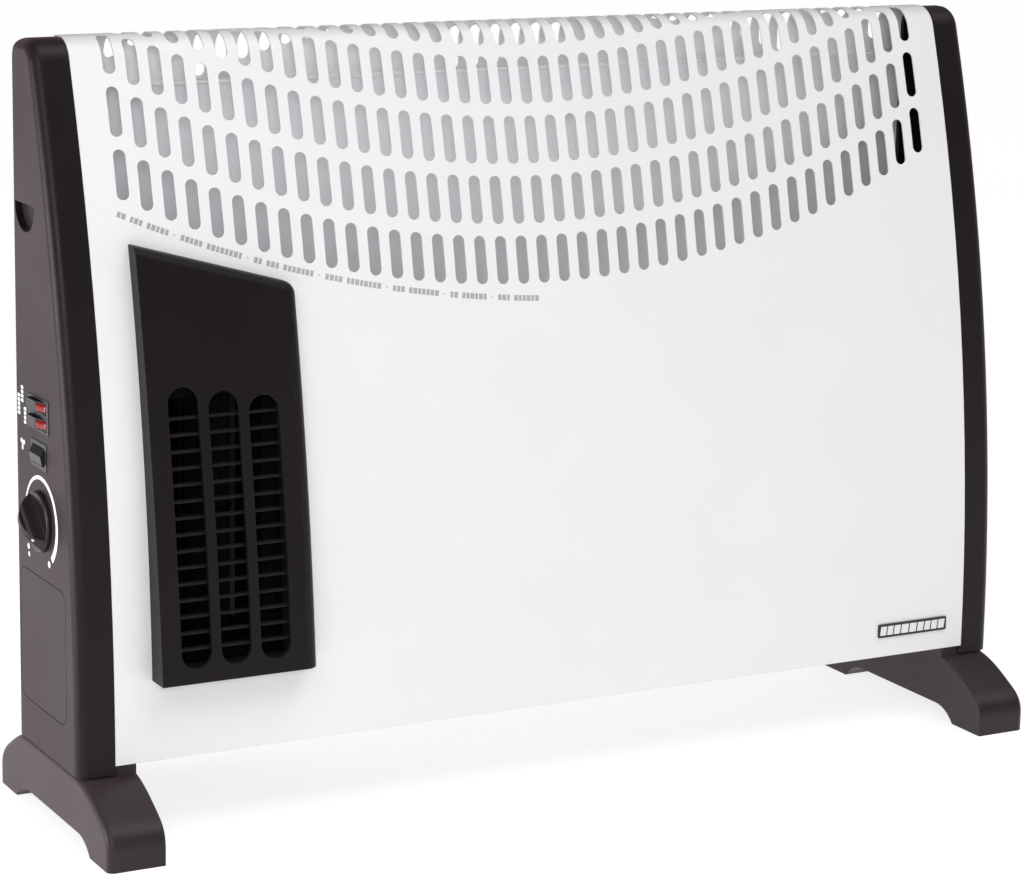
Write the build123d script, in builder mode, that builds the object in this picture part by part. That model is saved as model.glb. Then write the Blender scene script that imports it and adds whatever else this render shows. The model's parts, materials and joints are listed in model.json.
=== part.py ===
"""Fan convector heater: a steel case on two feet, moulded end caps and a fan behind a front outlet.

Frame: X runs across the heater, with the controls on the -X end; -Y is the front; +Z is up.
The origin is on the floor under the middle of the overall box. All lengths are in millimetres.
"""
from build123d import *

import os
from math import asin, cos, degrees, pi, radians, sin, sqrt

os.makedirs("parts", exist_ok=True)

# ------------------------------------------------------------------ driving dimensions
case_width = 530.0
case_depth = 80.1
case_top = 381.3
panel_bottom = 40.1
cap_bottom = 35.5
foot_length = 148.6
foot_tail = 34.0
knob_reach = 11.0

mid_x = knob_reach / 2
left_x = mid_x - case_width / 2
right_x = mid_x + case_width / 2
back_y = foot_length / 2 - foot_tail
base_front_y = back_y - case_depth

# Side outline of the sheet-metal case
front_radius = 1088.0
top_front_radius = 14.0
top_back_radius = 11.5
sheet = 0.7
lip_z = 356.0
flange_depth = 9.0
panel_half_width = 246.4
flange_half_width = 239.0

# Air slots in the front panel
slot_columns = 40
slot_pitch = 11.65
slot_row_step = 30.0
slot_length = 24.0
slot_width = 6.2
slot_curve_radius = 519.0
slot_low_z = 265.55
slot_last_run = 390.0
slot_cut_reach = 2.5
slot_cut_steps = 2

# End caps
cap_wall = 2.5
cap_inset = 0.8
cap_width = 19.5
cap_front_edge = 5.5
back_overhang = 8.0
grip_y = back_y - 15.5
grip_z = 302.5
grip_radius = 13.5
grip_depth = 3.6
boss_size = 12.0
boss_levels = (75.0, 240.0)
boss_start = 17.0
boss_length = 14.6
panel_screw_inset = 25.6
panel_screw_x = (left_x + panel_screw_inset, right_x - panel_screw_inset)

# Feet
foot_inset = 0.9
foot_width = 28.9
foot_top = cap_bottom
foot_lip = 8.7
foot_pad = 24.2
arch_height = 7.8
foot_edge = 3.5
foot_wall = 2.6
saddle_width = 11.3
saddle_length = case_depth - 4.0
saddle_inset = 18.2
foot_screw_y = (base_front_y + 16.0, back_y - 14.0)

# Screws, bosses and openings in the caps
screw_radius = 1.75
foot_screw_inset = 13.0
foot_boss_radius = 4.5
foot_boss_height = 16.0
spindle_hole_radius = 5.0
switch_width = 24.6
power_switch_height = 7.4
fan_switch_width = 18.0
fan_switch_height = 10.6
gland_z = 62.0
gland_x = left_x + 10.0
gland_hole_radius = 5.8

# Smaller details
screw_head_radius = 3.4
screw_head_height = 1.8
front_crown_y = back_y - 67.0
rear_crown_y = back_y - 10.0
arch_reach = 16.5
foot_screw_seat = 12.0
badge_x = mid_x + 213.2
badge_z = 54.5
badge_width = 44.0
badge_height = 7.4
badge_thickness = 0.8
outlet_corner = 7.0
outlet_cut_y = 18.0
grip_top = 1.6
grip_waist = 2.4
grip_waist_drop = 4.8
grip_foot = 4.3
knob_rim_radius = 1.0
knob_hollow_radius = 11.0
knob_hollow_depth = 1.2
spindle_reach = 4.6
nut_thickness = 1.4
spindle_depth = 12.0
thermostat_depth = 15.0
bezel_lip = 1.3
power_bezel_lip = 0.35
lens_margin = 0.6
lens_start = 1.2
lens_crown_radius = 1.5
bezel_reach = 0.35
switch_depth = 13.0
well_depth = 6.5
pivot_depth = 1.4
rocker_tilt = 9.0
rocker_ridge = 3.8
rocker_edge = 2.4
rocker_belly = 1.6
pin_radius = 0.8

# Controls on the left cap
dial_y = back_y - 32.4
dial_z = 151.2
knob_radius = 15.0
knob_thickness = 2.6
knob_gap = 0.5
knob_pointer_angle = 220.0
spindle_radius = 2.4
running_gap = 0.05
switch_y = back_y - 30.9
power_switch_z = (207.6, 199.4)
fan_switch_z = 183.6

# Blanking cover where other versions carry a timer
blank_y = back_y - 33.6
blank_z = 90.0
blank_width = 60.5
blank_height = 66.0
blank_corner = 7.0
blank_thickness = 1.6
blank_gap = 0.35

# Fan outlet on the front
outlet_left = mid_x - 227.2
outlet_right = mid_x - 145.0
outlet_low_z = 79.5
outlet_left_top_z = 286.4
outlet_right_top_z = 263.4
outlet_front = ((80.0, -52.7), (180.0, -40.6), (286.0, -20.2))
outlet_wall = 2.2
outlet_bevel = 6.5
window_x = tuple(mid_x - x for x in (209.2, 188.6, 167.9))
window_top_z = (220.2, 216.8, 213.4)
window_low_z = 87.1
window_width = 15.8
louvre_low_z = 95.9
louvre_pitch = 7.8
louvre_count = 15
louvre_thickness = 1.0
louvre_depth = 3.5
collar_width = 63.0
collar_low_z = 85.0
collar_top_z = 221.5
collar_wall = 1.2

# Fan and its motor, on a vertical axis behind the outlet
fan_x = mid_x - 188.6
fan_y = back_y - 30.3
fan_low_z = 92.0
fan_high_z = 210.0
fan_radius = 22.0
blade_count = 20
shaft_radius = 2.0
motor_z = 222.0
core_height = 14.0

# Heating element
element_left = mid_x - 122.0
element_right = mid_x + 228.0
element_y = back_y - 36.0
element_z = 88.0
board_height = 46.0


# ------------------------------------------------------------------ shared geometry
front_centre_y = base_front_y + front_radius
bend_centre_z = case_top - top_front_radius
bend_rise = bend_centre_z - panel_bottom
bend_angle = asin(bend_rise / (front_radius - top_front_radius))
bend_centre_y = front_centre_y - (front_radius - top_front_radius) * cos(bend_angle)
corner_centre_y = back_y - top_back_radius
corner_centre_z = case_top - top_back_radius

# Lengths of the outline's stretches, measured along the sheet's outer face
front_run = front_radius * bend_angle
bend_run = front_run + top_front_radius * (pi / 2 - bend_angle)
flat_run = bend_run + corner_centre_y - bend_centre_y
corner_run = flat_run + top_back_radius * pi / 2


def front_y(z, inset=0.0):
    """Y of the curved front at height z, drawn in by inset."""
    return front_centre_y - sqrt((front_radius - inset) ** 2 - (z - panel_bottom) ** 2)


def over_the_top(inset, end_z):
    """Open line from the front's foot, over the top and down the back; local x is Y, local y is Z."""
    bend_degrees = degrees(bend_angle)
    CenterArc((front_centre_y, panel_bottom), front_radius - inset, 180, -bend_degrees)
    CenterArc((bend_centre_y, bend_centre_z), top_front_radius - inset, 180 - bend_degrees, bend_degrees - 90)
    Line((bend_centre_y, case_top - inset), (corner_centre_y, case_top - inset))
    CenterArc((corner_centre_y, corner_centre_z), top_back_radius - inset, 90, -90)
    Line((back_y - inset, corner_centre_z), (back_y - inset, end_z))


def case_face(inset, low_z):
    """The case's whole side outline as a face, drawn in by inset, down to low_z."""
    with BuildSketch() as outline:
        with BuildLine():
            over_the_top(inset, low_z)
            Polyline(
                (back_y - inset, low_z),
                (base_front_y + inset, low_z),
                (base_front_y + inset, panel_bottom),
            )
        make_face()
    return outline.sketch


def sheet_spot(run, proud=0.0):
    """Place a length of run up the sheet's outer face, proud of it, and its outward angle in radians."""
    if run < front_run:
        angle = pi - run / front_radius
        centre, radius = (front_centre_y, panel_bottom), front_radius
    elif run < bend_run:
        angle = pi - bend_angle - (run - front_run) / top_front_radius
        centre, radius = (bend_centre_y, bend_centre_z), top_front_radius
    elif run < flat_run:
        angle = pi / 2
        centre, radius = (bend_centre_y + run - bend_run, bend_centre_z), top_front_radius
    elif run < corner_run:
        angle = pi / 2 - (run - flat_run) / top_back_radius
        centre, radius = (corner_centre_y, corner_centre_z), top_back_radius
    else:
        angle = 0.0
        centre, radius = (corner_centre_y, corner_centre_z - (run - corner_run)), top_back_radius
    reach = radius + proud
    return centre[0] + reach * cos(angle), centre[1] + reach * sin(angle), angle


def slot_cutter(x, run):
    """Round-ended cutter across the sheet, which bends where the sheet bends."""
    half = (slot_length - slot_width) / 2
    runs = [run + half * step / slot_cut_steps for step in range(-slot_cut_steps, slot_cut_steps + 1)]
    outside = [sheet_spot(place, slot_cut_reach)[:2] for place in runs]
    inside = [sheet_spot(place, -slot_cut_reach)[:2] for place in reversed(runs)]
    band = make_face(Polyline(*outside, *inside, close=True))
    cutter = extrude(Plane.YZ.offset(x - slot_width / 2) * band, slot_width)
    for place in (runs[0], runs[-1]):
        y, z, angle = sheet_spot(place)
        across = Plane(origin=(x, y, z), x_dir=(1, 0, 0), z_dir=(0, cos(angle), sin(angle)))
        cutter += across * Cylinder(slot_width / 2, 2 * slot_cut_reach)
    return cutter


def front_slots():
    """Cutters of every air slot: the rows hang in a curve that is lowest at the middle."""
    cutters = []
    for column in range(slot_columns):
        offset = (column - (slot_columns - 1) / 2) * slot_pitch
        low_z = slot_low_z + slot_curve_radius - sqrt(slot_curve_radius ** 2 - offset ** 2)
        run = front_radius * asin((low_z - panel_bottom) / front_radius)
        while run + slot_length / 2 < slot_last_run:
            cutters.append(slot_cutter(mid_x + offset, run))
            run += slot_row_step
    return cutters


def outlet_face(inset):
    """Side outline between the front panel and the outlet's bowed front, drawn in from the front."""
    front_line = [(y + inset, z) for z, y in outlet_front]
    back_line = [(front_y(z), z) for z, y in reversed(outlet_front)]
    with BuildSketch() as outline:
        with BuildLine():
            ThreePointArc(*front_line)
            Line(front_line[-1], back_line[0])
            ThreePointArc(*back_line)
            Line(back_line[-1], front_line[0])
        make_face()
    return outline.sketch


def save(part, name):
    """Label a finished piece and write its STEP file."""
    part.label = name
    export_step(part, f"parts/{name}.step")


# ------------------------------------------------------------------ case sheets
air_slots = front_slots()
flange_outline = Rectangle(flange_depth, sheet, align=(Align.MIN, Align.MIN))

with BuildPart() as front_panel:
    with BuildSketch(Plane.YZ.offset(mid_x - panel_half_width)):
        with BuildLine():
            over_the_top(0.0, lip_z)
            over_the_top(sheet, lip_z)
            Line((base_front_y, panel_bottom), (base_front_y + sheet, panel_bottom))
            Line((back_y, lip_z), (back_y - sheet, lip_z))
        make_face()
    extrude(amount=2 * panel_half_width)
    with BuildSketch(Plane.YZ.offset(mid_x - flange_half_width)):
        with Locations((base_front_y, panel_bottom), (back_y - flange_depth, lip_z)):
            add(flange_outline)
    extrude(amount=2 * flange_half_width)
    with Locations((window_x[1], base_front_y, (collar_low_z + collar_top_z) / 2)):
        Box(collar_width, flange_depth * 4, collar_top_z - collar_low_z, mode=Mode.SUBTRACT)
    add(air_slots, mode=Mode.SUBTRACT)
save(front_panel.part, "front_panel")

with BuildPart() as rear_panel:
    with Locations((mid_x, back_y, panel_bottom)):
        Box(2 * panel_half_width, sheet, lip_z - panel_bottom, align=(Align.CENTER, Align.MAX, Align.MIN))
    with BuildSketch(Plane.YZ.offset(mid_x - flange_half_width)):
        with Locations((back_y - flange_depth, panel_bottom), (back_y - flange_depth, lip_z - sheet)):
            add(flange_outline)
    extrude(amount=2 * flange_half_width)
    for x in panel_screw_x:
        for level in boss_levels:
            with Locations((x, back_y, level)):
                Cylinder(screw_radius, 4 * sheet, rotation=(90, 0, 0), mode=Mode.SUBTRACT)
save(rear_panel.part, "rear_panel")


# ------------------------------------------------------------------ end caps
cap_outline = case_face(cap_inset, cap_bottom)
cap_hollow = case_face(cap_inset + cap_wall, cap_bottom + cap_wall)


def half_moon(radius):
    """Flat-topped half disc of the finger grip, drawn on a YZ plane."""
    with Locations((grip_y, grip_z)):
        Circle(radius)
    with Locations((grip_y, grip_z + radius)):
        Rectangle(2 * radius, 2 * radius, mode=Mode.SUBTRACT)


def end_cap(outer_x, inward):
    """Moulded tray on the case's outline, open towards the middle, with a finger grip and bosses."""
    outermost = 0 if inward > 0 else -1
    boss_x = outer_x + inward * (boss_start + boss_length / 2)
    screw_x = outer_x + inward * panel_screw_inset
    with BuildPart() as cap:
        with BuildSketch(Plane.YZ.offset(outer_x)):
            add(cap_outline)
            with Locations((corner_centre_y, cap_bottom)):
                Rectangle(
                    top_back_radius + back_overhang, case_top - cap_inset - cap_bottom,
                    align=(Align.MIN, Align.MIN),
                )
        extrude(amount=inward * cap_width)
        rim = faces().filter_by(Axis.X).sort_by(Axis.X)[outermost].edges()
        fillet(rim.filter_by(lambda edge: edge.center().Z > cap_bottom + 1), cap_front_edge)
        with BuildSketch(Plane.YZ.offset(outer_x)):
            add(cap_outline)
        extrude(amount=inward * cap_width, mode=Mode.INTERSECT)
        with BuildSketch(Plane.YZ.offset(outer_x + inward * cap_wall)):
            add(cap_hollow)
        extrude(amount=inward * cap_width, mode=Mode.SUBTRACT)
        with BuildSketch(Plane.YZ.offset(outer_x + inward * cap_wall)):
            half_moon(grip_radius + cap_wall)
            with Locations((grip_y, grip_z + cap_wall / 2)):
                Rectangle(2 * (grip_radius + cap_wall), cap_wall)
        extrude(amount=inward * grip_depth)
        with BuildSketch(Plane.YZ.offset(outer_x)):
            half_moon(grip_radius)
        extrude(amount=inward * grip_depth, mode=Mode.SUBTRACT)
        for level in boss_levels:
            with Locations((boss_x, back_y - cap_inset - boss_size / 2, level)):
                Box(boss_length, boss_size, boss_size)
            with Locations((screw_x, back_y - cap_inset - boss_size / 2, level)):
                Cylinder(screw_radius, boss_size, rotation=(90, 0, 0), mode=Mode.SUBTRACT)
        for y in foot_screw_y:
            with Locations((outer_x + inward * foot_screw_inset, y, cap_bottom + foot_boss_height / 2)):
                Cylinder(foot_boss_radius, foot_boss_height)
                Cylinder(screw_radius, foot_boss_height, mode=Mode.SUBTRACT)
        with Locations((outer_x + inward * saddle_inset, back_y - case_depth / 2, cap_bottom)):
            Box(
                cap_width, saddle_length + 1.0, 2 * (panel_bottom - cap_bottom),
                align=(Align.MIN if inward > 0 else Align.MAX, Align.CENTER, Align.CENTER), mode=Mode.SUBTRACT,
            )
    return cap.part


left_shell = end_cap(left_x, 1)
save(end_cap(right_x, -1), "right_end_cap")

with BuildPart() as left_end_cap:
    add(left_shell)
    with BuildSketch(Plane.YZ.offset(left_x)):
        for level in power_switch_z:
            with Locations((switch_y, level)):
                Rectangle(switch_width, power_switch_height)
        with Locations((switch_y, fan_switch_z)):
            Rectangle(fan_switch_width, fan_switch_height)
        with Locations((dial_y, dial_z)):
            Circle(spindle_hole_radius)
        with Locations((blank_y, blank_z)):
            RectangleRounded(blank_width - 8, blank_height - 8, blank_corner - 3)
    extrude(amount=cap_wall, mode=Mode.SUBTRACT)
    with BuildSketch(Plane.YZ.offset(left_x)):
        with Locations((blank_y, blank_z)):
            RectangleRounded(blank_width + 2 * blank_gap, blank_height + 2 * blank_gap, blank_corner)
    extrude(amount=blank_thickness, mode=Mode.SUBTRACT)
    with BuildSketch(Plane.XZ.offset(-back_y)):
        with Locations((gland_x, gland_z)):
            Circle(gland_hole_radius)
    extrude(amount=2 * cap_wall, mode=Mode.SUBTRACT)
save(left_end_cap.part, "left_end_cap")

with BuildPart() as timer_blank_cover:
    with BuildSketch(Plane.YZ.offset(left_x)):
        with Locations((blank_y, blank_z)):
            RectangleRounded(blank_width, blank_height, blank_corner - blank_gap)
    extrude(amount=blank_thickness)
    tab_y = blank_width / 2 - 6.0
    for side in (-1, 1):
        with Locations((left_x + 3.2, blank_y + side * tab_y, blank_z)):
            Box(4.0, 1.5, 14.0)
save(timer_blank_cover.part, "timer_blank_cover")


# ------------------------------------------------------------------ feet
def quarter_oval(crown_y, end_y):
    """Quarter oval of the foot's top, from its crown down to the lip at end_y."""
    half = radians(50)
    reach = end_y - crown_y
    Spline(
        (crown_y, foot_top),
        (crown_y + reach * sin(half), foot_top * cos(half) + 1.0),
        (end_y, foot_lip),
        tangents=((reach, 0), (0, -abs(reach))),
    )


def foot(outer_x, inward):
    """Arched foot on two pads, hollowed from the arch, with a saddle under the front panel's edge."""
    near_x = outer_x + inward * foot_inset
    front = -foot_length / 2
    rear = foot_length / 2
    arch_front = front + foot_pad
    arch_rear = rear - foot_pad
    middle_sag = arch_height * 0.72
    saddle_x = near_x + inward * (foot_width - saddle_width / 2)
    saddle_z = (foot_top + panel_bottom) / 2 - 1
    pocket_length = foot_screw_y[1] - foot_screw_y[0] - 2 * foot_boss_radius - 2 * foot_wall
    with BuildPart() as arched:
        with BuildSketch(Plane.YZ.offset(near_x)):
            with BuildLine():
                Line((front, 0), (front, foot_lip))
                quarter_oval(front_crown_y, front)
                Line((front_crown_y, foot_top), (rear_crown_y, foot_top))
                quarter_oval(rear_crown_y, rear)
                Polyline((rear, foot_lip), (rear, 0), (arch_rear, 0))
                ThreePointArc(
                    (arch_rear, 0), (arch_rear - arch_reach * 0.4, middle_sag),
                    (arch_rear - arch_reach, arch_height),
                )
                Line((arch_rear - arch_reach, arch_height), (arch_front + arch_reach, arch_height))
                ThreePointArc(
                    (arch_front + arch_reach, arch_height), (arch_front + arch_reach * 0.4, middle_sag),
                    (arch_front, 0),
                )
                Line((arch_front, 0), (front, 0))
            make_face()
        extrude(amount=inward * foot_width)
        outer_face = faces().filter_by(Axis.X).sort_by(Axis.X)[0 if inward > 0 else -1]
        crown = outer_face.edges().filter_by(lambda edge: edge.center().Z > foot_lip + 1)
        fillet(crown.filter_by(lambda edge: abs(edge.center().Z - foot_top) > 1), foot_edge)
        with Locations((saddle_x, back_y - case_depth / 2, saddle_z)):
            Box(saddle_width, saddle_length, panel_bottom - foot_top + 2)
        with Locations((near_x + inward * foot_width / 2, sum(foot_screw_y) / 2, (foot_top - foot_wall) / 2)):
            Box(foot_width - 2 * foot_wall, pocket_length, foot_top - foot_wall, mode=Mode.SUBTRACT)
        for y in foot_screw_y:
            with Locations((outer_x + inward * foot_screw_inset, y, 0)):
                Cylinder(screw_radius + running_gap, 3 * foot_top, mode=Mode.SUBTRACT)
                Cylinder(screw_head_radius + 0.6, 2 * foot_screw_seat, mode=Mode.SUBTRACT)
    return arched.part


save(foot(left_x, 1), "left_foot")
save(foot(right_x, -1), "right_foot")


def pan_screws(places, direction, length):
    """Self-tapping pan-head screws, each a head and a plain shank, as separate solids."""
    with BuildPart() as screws:
        for place in places:
            seat = Plane(origin=place, z_dir=direction)
            with BuildSketch(seat):
                Circle(screw_head_radius)
            extrude(amount=screw_head_height)
            with BuildSketch(seat):
                Circle(screw_radius - running_gap)
            extrude(amount=-length)
    return screws.part


foot_screw_x = (left_x + foot_screw_inset, right_x - foot_screw_inset)
foot_screw_places = [(x, y, foot_screw_seat) for x in foot_screw_x for y in foot_screw_y]
panel_screw_places = [(x, back_y, z) for x in panel_screw_x for z in boss_levels]
save(pan_screws(foot_screw_places, (0, 0, -1), 30.0), "foot_screws")
save(pan_screws(panel_screw_places, (0, 1, 0), 9.0), "rear_panel_screws")

with BuildPart() as badge_plate:
    with BuildSketch(Plane.XZ.offset(-front_y(badge_z - badge_height / 2))):
        with Locations((badge_x, badge_z)):
            RectangleRounded(badge_width, badge_height, 0.8)
    extrude(amount=badge_thickness)
save(badge_plate.part, "badge_plate")

# ------------------------------------------------------------------ fan outlet on the front
outlet_width = outlet_right - outlet_left


def outlet_block(inset, margin):
    """Outlet body: the bowed side outline, cut to its face-on outline with a slanting top."""
    with BuildPart() as block:
        with BuildSketch(Plane.YZ.offset(outlet_left + margin)):
            add(outlet_face(inset))
        extrude(amount=outlet_width - 2 * margin)
        with BuildSketch(Plane.XZ.offset(-foot_length)):
            Polygon(
                (outlet_left + margin, outlet_low_z + margin),
                (outlet_right - margin, outlet_low_z + margin),
                (outlet_right - margin, outlet_right_top_z - margin),
                (outlet_left + margin, outlet_left_top_z - margin),
                align=None,
            )
        extrude(amount=2 * foot_length, mode=Mode.INTERSECT)
    return block.part


outlet_body = outlet_block(0.0, 0.0)
outlet_cavity = outlet_block(outlet_wall, outlet_wall)

with BuildPart() as fan_outlet_cover:
    add(outlet_body)
    right_edges = faces().filter_by(Axis.X).sort_by(Axis.X)[-1].edges()
    fillet(right_edges.sort_by(Axis.Z)[-1], outlet_corner)
    front_face = faces().sort_by(SortBy.AREA)[-2:].sort_by(Axis.Y)[0]
    upper_edges = front_face.edges().filter_by(lambda edge: edge.center().Z > outlet_low_z + 1)
    fillet(upper_edges.filter_by(lambda edge: edge.center().X > outlet_left + 1), outlet_bevel)
    add(outlet_cavity, mode=Mode.SUBTRACT)
    with BuildSketch(Plane.XZ.offset(-outlet_cut_y)):
        for x, top_z in zip(window_x, window_top_z):
            with Locations((x, (top_z + window_low_z) / 2)):
                SlotOverall(top_z - window_low_z, window_width, rotation=90)
    extrude(amount=foot_length, mode=Mode.SUBTRACT)
save(fan_outlet_cover.part, "fan_outlet_cover")

def outlet_band(start, stop):
    """Side outline between two depths behind the outlet's bowed front; stop None ends at the panel."""
    front_line = [(y + start, z) for z, y in outlet_front]
    if stop is None:
        back_line = [(front_y(z) - running_gap, z) for z, y in outlet_front]
    else:
        back_line = [(y + stop, z) for z, y in outlet_front]
    with BuildSketch() as outline:
        with BuildLine():
            ThreePointArc(*front_line)
            Line(front_line[-1], back_line[-1])
            ThreePointArc(*back_line[::-1])
            Line(back_line[0], front_line[0])
        make_face()
    return outline.sketch


louvre_band = outlet_band(outlet_wall + running_gap, outlet_wall + louvre_depth)
collar_band = outlet_band(outlet_wall + running_gap, None)
collar_middle_z = (collar_low_z + collar_top_z) / 2

with BuildPart() as outlet_collar:
    with Locations((window_x[1], 0, collar_middle_z)):
        Box(collar_width, foot_length, collar_top_z - collar_low_z)
        Box(
            collar_width - 2 * collar_wall, foot_length, collar_top_z - collar_low_z - 2 * collar_wall,
            mode=Mode.SUBTRACT,
        )
    with BuildSketch(Plane.YZ.offset(outlet_left)):
        add(collar_band)
    extrude(amount=outlet_width, mode=Mode.INTERSECT)

with BuildPart() as outlet_louvres:
    for level in range(louvre_count):
        with Locations((window_x[1], 0, louvre_low_z + louvre_pitch * level)):
            Box(collar_width - collar_wall, foot_length, louvre_thickness)
    with BuildSketch(Plane.YZ.offset(outlet_left)):
        add(louvre_band)
    extrude(amount=outlet_width, mode=Mode.INTERSECT)
    add(outlet_collar.part)
save(outlet_louvres.part, "outlet_louvres")

# ------------------------------------------------------------------ thermostat and its knob
pointer = radians(knob_pointer_angle)
dial_origin = (left_x, dial_y, dial_z)
dial_plane = Plane(origin=dial_origin, x_dir=(0, cos(pointer), sin(pointer)), z_dir=(-1, 0, 0))
arch_plane = Plane(origin=dial_origin, x_dir=dial_plane.x_dir, z_dir=dial_plane.y_dir)
waist_plane = Plane(origin=dial_origin, x_dir=dial_plane.y_dir, z_dir=dial_plane.x_dir)


def d_section(radius):
    """Round section with one flat."""
    Circle(radius)
    with Locations((0, radius)):
        Rectangle(2 * radius, 1.2, mode=Mode.SUBTRACT)


with BuildPart() as knob_grip:
    base = knob_thickness - 0.8
    waist_z = knob_reach - grip_waist_drop
    with BuildSketch(arch_plane):
        with BuildLine():
            ThreePointArc((-knob_radius, -base), (0, -knob_reach), (knob_radius, -base))
            Line((knob_radius, -base), (-knob_radius, -base))
        make_face()
    extrude(amount=knob_radius, both=True)
    with BuildSketch(waist_plane):
        with BuildLine():
            ThreePointArc((grip_top, knob_reach), (grip_waist, waist_z), (grip_foot, knob_thickness))
            Polyline(
                (grip_foot, knob_thickness), (grip_foot, base), (-grip_foot, base), (-grip_foot, knob_thickness)
            )
            ThreePointArc((-grip_foot, knob_thickness), (-grip_waist, waist_z), (-grip_top, knob_reach))
            Line((-grip_top, knob_reach), (grip_top, knob_reach))
        make_face()
    extrude(amount=knob_radius, both=True, mode=Mode.INTERSECT)
    with BuildSketch(dial_plane):
        Circle(knob_radius - 0.3)
    extrude(amount=2 * knob_reach, mode=Mode.INTERSECT)

with BuildPart() as thermostat_knob:
    with BuildSketch(dial_plane.offset(knob_gap)):
        Circle(knob_radius)
    extrude(amount=knob_thickness - knob_gap)
    fillet(faces().sort_by(Axis.X)[0].edges(), knob_rim_radius)
    add(knob_grip.part)
    with BuildSketch(dial_plane.offset(knob_gap)):
        Circle(knob_hollow_radius)
    extrude(amount=knob_hollow_depth, mode=Mode.SUBTRACT)
    with BuildSketch(dial_plane):
        d_section(spindle_radius)
    extrude(amount=spindle_reach, mode=Mode.SUBTRACT)
save(thermostat_knob.part, "thermostat_knob")

with BuildPart() as thermostat_spindle:
    with BuildSketch(dial_plane.offset(-spindle_depth)):
        Circle(spindle_radius)
    extrude(amount=spindle_depth + knob_gap + knob_hollow_depth)
    with BuildSketch(dial_plane.offset(knob_gap + knob_hollow_depth)):
        d_section(spindle_radius)
    extrude(amount=spindle_reach - knob_gap - knob_hollow_depth)
save(thermostat_spindle.part, "thermostat_spindle")

with BuildPart() as thermostat_body:
    with Locations((left_x + cap_wall + thermostat_depth / 2, dial_y, dial_z)):
        Box(thermostat_depth, 34.0, 22.0)
    fillet(edges().filter_by(Axis.X), 2.0)
    with BuildSketch(dial_plane.offset(-cap_wall - 1)):
        Circle(spindle_hole_radius - 0.2)
    extrude(amount=cap_wall + 1 + nut_thickness)
    with BuildSketch(dial_plane.offset(-spindle_depth - 0.5)):
        Circle(spindle_radius + running_gap)
    extrude(amount=spindle_depth + 4.0, mode=Mode.SUBTRACT)
    for y in (-9.0, 9.0):
        with Locations((left_x + cap_wall + thermostat_depth + 1.5, dial_y + y, dial_z)):
            Box(3.0, 6.3, 0.8)
save(thermostat_body.part, "thermostat_body")

with BuildPart() as thermostat_nut:
    with BuildSketch(dial_plane):
        RegularPolygon(7.0, 6, major_radius=False)
        Circle(spindle_hole_radius - 0.2, mode=Mode.SUBTRACT)
    extrude(amount=nut_thickness)
save(thermostat_nut.part, "thermostat_nut")


# ------------------------------------------------------------------ rocker switches
def switch_housing(level, width, height, lip):
    """Switch body clipped in the cap wall: a thin bezel, a well for the rocker and two tabs."""
    with BuildPart() as housing:
        with Locations((left_x - bezel_reach / 2, switch_y, level)):
            Box(bezel_reach, width + 2 * bezel_lip, height + 2 * lip)
        with Locations((left_x + switch_depth / 2, switch_y, level)):
            Box(switch_depth, width - 0.2, height - 0.2)
        with Locations((left_x + well_depth / 2 - bezel_reach, switch_y, level)):
            Box(well_depth, width - 2.0, height - 1.4, mode=Mode.SUBTRACT)
        for side in (-1, 1):
            with Locations((left_x + switch_depth + 2.0, switch_y + side * width / 4, level)):
                Box(4.0, 0.8, 4.8)
    return housing.part


def tipped(points, tilt):
    """Rocker outline points, as (along, outward) from the pivot, turned by tilt degrees."""
    turn = radians(tilt)
    return [(a * cos(turn) - b * sin(turn), a * sin(turn) + b * cos(turn)) for a, b in points]


def rocker_outline(length):
    """Low ridge across the middle and a narrower belly below the pivot."""
    half = length / 2
    return [
        (-half, rocker_edge), (0.0, rocker_ridge), (half, rocker_edge), (half - 0.5, 0.8),
        (half / 2, -rocker_belly), (-half / 2, -rocker_belly), (0.5 - half, 0.8),
    ]


power_length = switch_width - 2.0 - 1.2
lens_end = power_length / 2 - lens_margin
fan_length = fan_switch_height - 1.4 - 1.0
pivot_x = left_x + pivot_depth

for number, level in enumerate(power_switch_z, start=1):
    plain_housing = switch_housing(level, switch_width, power_switch_height, power_bezel_lip)
    with BuildPart() as power_switch_housing:
        add(plain_housing)
        with Locations((pivot_x, switch_y, level)):
            Cylinder(pin_radius, power_switch_height - 0.6)
    save(power_switch_housing.part, f"power_switch_{number}_housing")
    across = power_switch_height - 1.4 - 0.6
    with BuildPart() as power_rocker:
        with BuildSketch(Plane.XY.offset(level - across / 2)):
            outline = tipped(rocker_outline(power_length), -rocker_tilt)
            Polygon(*[(pivot_x - b, switch_y - a) for a, b in outline], align=None)
        extrude(amount=across)
        with Locations((pivot_x, switch_y, level)):
            Cylinder(pin_radius + running_gap, 2 * across, mode=Mode.SUBTRACT)
        lens_seat = tipped([(lens_start, 1.4), (lens_end, 1.4), (lens_end, 6.0), (lens_start, 6.0)], -rocker_tilt)
        with BuildSketch(Plane.XY.offset(level - across / 2 + lens_margin)):
            Polygon(*[(pivot_x - b, switch_y - a) for a, b in lens_seat], align=None)
        extrude(amount=across - 2 * lens_margin, mode=Mode.SUBTRACT)
    save(power_rocker.part, f"power_rocker_{number}")
    with BuildPart() as lens:
        crown = tipped([(lens_start, 1.4), (lens_end, 1.4), (lens_end, 3.3), (lens_start, 4.5)], -rocker_tilt)
        with BuildSketch(Plane.XY.offset(level - across / 2 + lens_margin)):
            Polygon(*[(pivot_x - b, switch_y - a) for a, b in crown], align=None)
        extrude(amount=across - 2 * lens_margin)
        fillet(faces().sort_by(Axis.X)[0].edges(), lens_crown_radius)
    save(lens.part, f"rocker_lens_{number}")

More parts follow.
